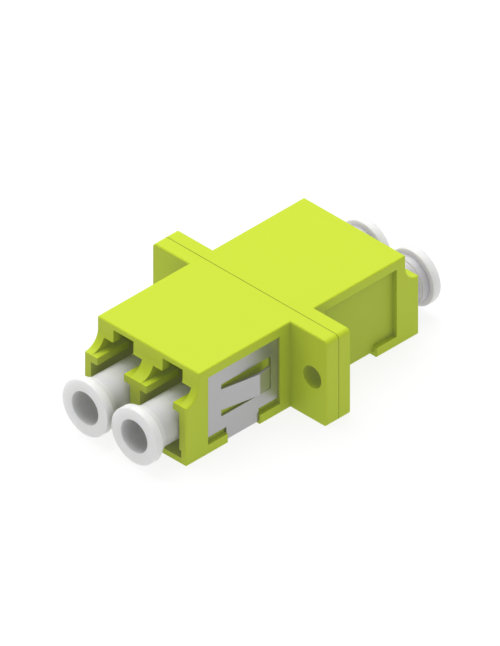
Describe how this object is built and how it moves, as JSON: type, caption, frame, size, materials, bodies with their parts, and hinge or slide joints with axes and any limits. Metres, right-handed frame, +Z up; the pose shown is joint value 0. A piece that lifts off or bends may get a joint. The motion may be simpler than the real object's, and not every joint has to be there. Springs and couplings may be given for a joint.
{
  "type": "lc fibre adapter",
  "caption": "Panel-mount LC fibre adapter: moulded housing with screw flange, folded steel panel clip, ceramic alignment sleeves and push-in dust caps.",
  "frame": {"origin": "middle of the welded joint between the housing halves, at the middle of the body's width, depth and height", "axes": "+X across the ports, +Y along the fibres towards the rear ports, +Z up towards the latch side"},
  "size_m": [0.0222, 0.0362, 0.0094],
  "materials": {
    "lime_plastic": "satin moulded lime green",
    "cap_plastic": "satin moulded white",
    "clip_steel": "rolled sheet",
    "sleeve_ceramic": "ground"
  },
  "bodies": {
    "adapter": {"front_housing": "lime_plastic", "rear_housing": "lime_plastic", "panel_clip": "clip_steel", "sleeve_left": "sleeve_ceramic", "sleeve_right": "sleeve_ceramic"},
    "cap_front_left": {"dust_cap_front_left": "cap_plastic"},
    "cap_front_right": {"dust_cap_front_right": "cap_plastic"},
    "cap_rear_left": {"dust_cap_rear_left": "cap_plastic"},
    "cap_rear_right": {"dust_cap_rear_right": "cap_plastic"}
  },
  "joints": [
    {"name": "cap_front_left_pull", "type": "slide", "parent": "adapter", "child": "cap_front_left", "axis": [0, -1, 0], "range_m": [0, 0.013]},
    {"name": "cap_front_right_pull", "type": "slide", "parent": "adapter", "child": "cap_front_right", "axis": [0, -1, 0], "range_m": [0, 0.013]},
    {"name": "cap_rear_left_pull", "type": "slide", "parent": "adapter", "child": "cap_rear_left", "axis": [0, 1, 0], "range_m": [0, 0.013]},
    {"name": "cap_rear_right_pull", "type": "slide", "parent": "adapter", "child": "cap_rear_right", "axis": [0, 1, 0], "range_m": [0, 0.013]}
  ]
}
